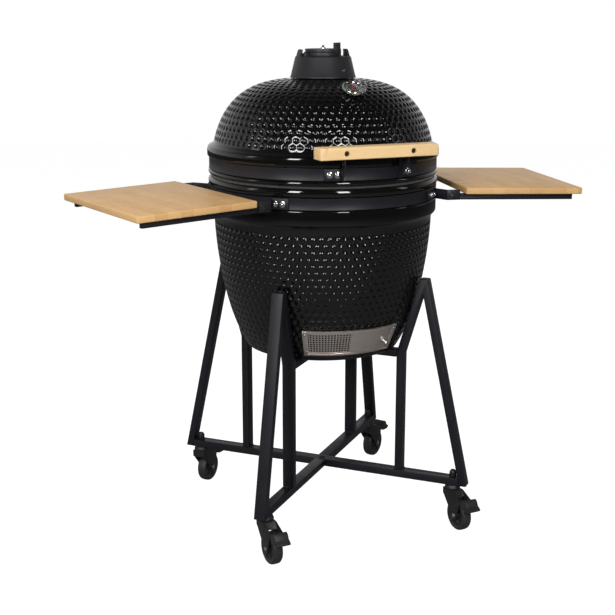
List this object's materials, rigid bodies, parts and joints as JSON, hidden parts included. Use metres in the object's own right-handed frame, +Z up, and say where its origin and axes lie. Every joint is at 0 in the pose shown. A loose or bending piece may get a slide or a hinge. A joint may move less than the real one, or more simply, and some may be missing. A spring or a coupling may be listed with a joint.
{
  "type": "kamado ceramic grill",
  "caption": "Egg-shaped ceramic charcoal grill with hinged dimpled lid, folding side shelves, top and draft vents, on a rolling steel stand with braked casters",
  "frame": {"origin": "on the floor under the egg's axis, centre of the bounding box's bottom face", "axes": "+Z up; the front with the handle and draft door faces -Y; +X to the right seen from the front"},
  "size_m": [1.2098, 0.6744, 1.148],
  "materials": {
    "black_glaze": "gloss black glaze over pressed dimples",
    "fire_clay": "unglazed matte",
    "black_steel": "satin black powder coat",
    "black_felt": "matte woven felt",
    "cast_iron": "matte black seasoned",
    "grate_steel": "polished rod",
    "zinc_steel": "bright zinc plated",
    "brushed_stainless": "brushed",
    "chrome": "polished",
    "lens_glass": "clear",
    "needle_red": "gloss red",
    "bamboo": "oiled laminated strips",
    "caster_rubber": "matte",
    "pedal_plastic": "moulded"
  },
  "bodies": {
    "grill_base": {"base_bowl": "black_glaze", "base_band": "black_steel", "base_gasket": "black_felt", "fire_box": "fire_clay", "fire_ring": "fire_clay", "charcoal_grate": "cast_iron", "cooking_grate": "grate_steel", "vent_frame": "brushed_stainless", "cradle_cross": "black_steel", "base_bar_long": "black_steel", "base_bar_front_left": "black_steel", "base_bar_rear_right": "black_steel", "hinge_base_bracket": "black_steel", "hinge_pin": "zinc_steel", "hinge_spring_left": "zinc_steel", "hinge_spring_right": "zinc_steel", "leg_frame_front_left": "black_steel", "leg_frame_front_right": "black_steel", "leg_frame_rear_left": "black_steel", "leg_frame_rear_right": "black_steel", "shelf_bracket_front_left": "black_steel", "shelf_bracket_rear_left": "black_steel", "shelf_bracket_front_right": "black_steel", "shelf_bracket_rear_right": "black_steel"},
    "lid": {"dome_lid": "black_glaze", "lid_band": "black_steel", "lid_gasket": "black_felt", "hinge_lid_bracket": "black_steel", "handle_bar": "bamboo", "handle_bracket_left": "black_steel", "handle_bracket_right": "black_steel", "handle_screw_left": "zinc_steel", "handle_screw_right": "zinc_steel", "vent_chimney": "cast_iron", "thermometer_case": "chrome", "thermometer_lens": "lens_glass"},
    "vent_plate": {"vent_swing_plate": "cast_iron", "vent_centre_bolt": "zinc_steel"},
    "daisy_wheel": {"vent_daisy_wheel": "cast_iron"},
    "thermometer_pointer": {"thermometer_needle": "needle_red"},
    "draft_screen": {"vent_screen": "brushed_stainless"},
    "draft_door": {"vent_door": "brushed_stainless"},
    "shelf_left": {"shelf_board_left": "bamboo", "shelf_arm_front_left": "black_steel", "shelf_arm_rear_left": "black_steel"},
    "shelf_right": {"shelf_board_right": "bamboo", "shelf_arm_front_right": "black_steel", "shelf_arm_rear_right": "black_steel"},
    "caster_front_left": {"caster_fork_front_left": "black_steel"},
    "wheel_front_left": {"caster_wheel_front_left": "caster_rubber"},
    "brake_front_left": {"caster_brake_front_left": "pedal_plastic"},
    "caster_front_right": {"caster_fork_front_right": "black_steel"},
    "wheel_front_right": {"caster_wheel_front_right": "caster_rubber"},
    "brake_front_right": {"caster_brake_front_right": "pedal_plastic"},
    "caster_rear_left": {"caster_fork_rear_left": "black_steel"},
    "wheel_rear_left": {"caster_wheel_rear_left": "caster_rubber"},
    "brake_rear_left": {"caster_brake_rear_left": "pedal_plastic"},
    "caster_rear_right": {"caster_fork_rear_right": "black_steel"},
    "wheel_rear_right": {"caster_wheel_rear_right": "caster_rubber"},
    "brake_rear_right": {"caster_brake_rear_right": "pedal_plastic"}
  },
  "joints": [
    {"name": "lid_hinge", "type": "hinge", "parent": "grill_base", "child": "lid", "pos_m": [0, 0.322, 0.845], "axis": [-1, 0, 0], "range_deg": [0, 65], "stiffness_Nm_per_rad": 12, "springref_deg": 65},
    {"name": "top_vent_swing", "type": "hinge", "parent": "lid", "child": "vent_plate", "pos_m": [-0.0455, 0, 1.1169], "axis": [0, 0, 1], "range_deg": [0, 60]},
    {"name": "daisy_wheel_turn", "type": "hinge", "parent": "vent_plate", "child": "daisy_wheel", "pos_m": [0, 0, 1.1247], "axis": [0, 0, 1], "range_deg": [0, 36]},
    {"name": "thermometer_needle_turn", "type": "hinge", "parent": "lid", "child": "thermometer_pointer", "pos_m": [0, -0.17153, 1.04857], "axis": [0, 0.4386, -0.8987], "range_deg": [0, 270]},
    {"name": "draft_screen_slide", "type": "hinge", "parent": "grill_base", "child": "draft_screen", "pos_m": [0, 0, 0.47], "axis": [0, 0, 1], "range_deg": [0, 26]},
    {"name": "draft_door_slide", "type": "hinge", "parent": "grill_base", "child": "draft_door", "pos_m": [0, 0, 0.47], "axis": [0, 0, -1], "range_deg": [0, 26]},
    {"name": "shelf_right_fold", "type": "hinge", "parent": "grill_base", "child": "shelf_right", "pos_m": [0.26477, -0.05291, 0.8044], "axis": [0.1959, 0.9806, 0], "range_deg": [0, 88]},
    {"name": "shelf_left_fold", "type": "hinge", "parent": "grill_base", "child": "shelf_left", "pos_m": [-0.26477, -0.05291, 0.8044], "axis": [0.1959, -0.9806, 0], "range_deg": [0, 88]},
    {"name": "caster_swivel_front_left", "type": "hinge", "parent": "grill_base", "child": "caster_front_left", "pos_m": [-0.24183, -0.24183, 0.106], "axis": [0, 0, 1], "continuous": true},
    {"name": "wheel_spin_front_left", "type": "hinge", "parent": "caster_front_left", "child": "wheel_front_left", "pos_m": [-0.23913, -0.27271, 0.0375], "axis": [0.9962, 0.0872, 0], "continuous": true},
    {"name": "brake_release_front_left", "type": "hinge", "parent": "caster_front_left", "child": "brake_front_left", "pos_m": [-0.2373, -0.29363, 0.076], "axis": [-0.9962, -0.0872, 0], "range_deg": [0, 12]},
    {"name": "caster_swivel_front_right", "type": "hinge", "parent": "grill_base", "child": "caster_front_right", "pos_m": [0.24183, -0.24183, 0.106], "axis": [0, 0, 1], "continuous": true},
    {"name": "wheel_spin_front_right", "type": "hinge", "parent": "caster_front_right", "child": "wheel_front_right", "pos_m": [0.24453, -0.27271, 0.0375], "axis": [0.9962, 0.0872, 0], "continuous": true},
    {"name": "brake_release_front_right", "type": "hinge", "parent": "caster_front_right", "child": "brake_front_right", "pos_m": [0.24636, -0.29363, 0.076], "axis": [-0.9962, -0.0872, 0], "range_deg": [0, 12]},
    {"name": "caster_swivel_rear_left", "type": "hinge", "parent": "grill_base", "child": "caster_rear_left", "pos_m": [-0.24183, 0.24183, 0.106], "axis": [0, 0, 1], "continuous": true},
    {"name": "wheel_spin_rear_left", "type": "hinge", "parent": "caster_rear_left", "child": "wheel_rear_left", "pos_m": [-0.21879, 0.26257, 0.0375], "axis": [-0.6691, 0.7431, 0], "continuous": true},
    {"name": "brake_release_rear_left", "type": "hinge", "parent": "caster_rear_left", "child": "brake_rear_left", "pos_m": [-0.20319, 0.27663, 0.076], "axis": [0.6691, -0.7431, 0], "range_deg": [0, 12]},
    {"name": "caster_swivel_rear_right", "type": "hinge", "parent": "grill_base", "child": "caster_rear_right", "pos_m": [0.24183, 0.24183, 0.106], "axis": [0, 0, 1], "continuous": true},
    {"name": "wheel_spin_rear_right", "type": "hinge", "parent": "caster_rear_right", "child": "wheel_rear_right", "pos_m": [0.26691, 0.26005, 0.0375], "axis": [-0.5878, 0.809, 0], "continuous": true},
    {"name": "brake_release_rear_right", "type": "hinge", "parent": "caster_rear_right", "child": "brake_rear_right", "pos_m": [0.2839, 0.27239, 0.076], "axis": [0.5878, -0.809, 0], "range_deg": [0, 12]}
  ]
}
